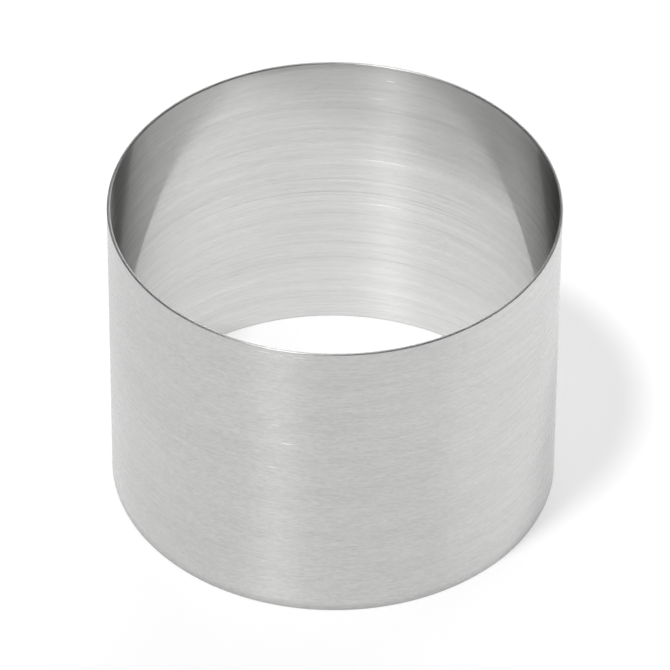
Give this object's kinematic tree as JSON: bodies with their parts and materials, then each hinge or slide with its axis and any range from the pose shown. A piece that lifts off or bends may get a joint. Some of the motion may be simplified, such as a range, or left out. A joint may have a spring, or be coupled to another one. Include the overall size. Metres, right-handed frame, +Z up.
{
  "type": "pastry ring",
  "caption": "Plain straight-walled brushed stainless steel ring, open at both ends, for moulding mousse and cakes, baking tarts and cutting dough.",
  "frame": {"origin": "on the ring's axis, level with its lower edge", "axes": "+Z up along the ring's axis, -Y towards the front, and the weld in the wall at +X"},
  "size_m": [0.1, 0.1, 0.075],
  "materials": {
    "brushed_steel": "satin, brushed round the ring inside and out",
    "dressed_weld": "weld metal dressed flush with the wall and brushed over"
  },
  "bodies": {
    "root": {"rolled_band": "brushed_steel", "seam_weld": "dressed_weld"}
  },
  "joints": []
}
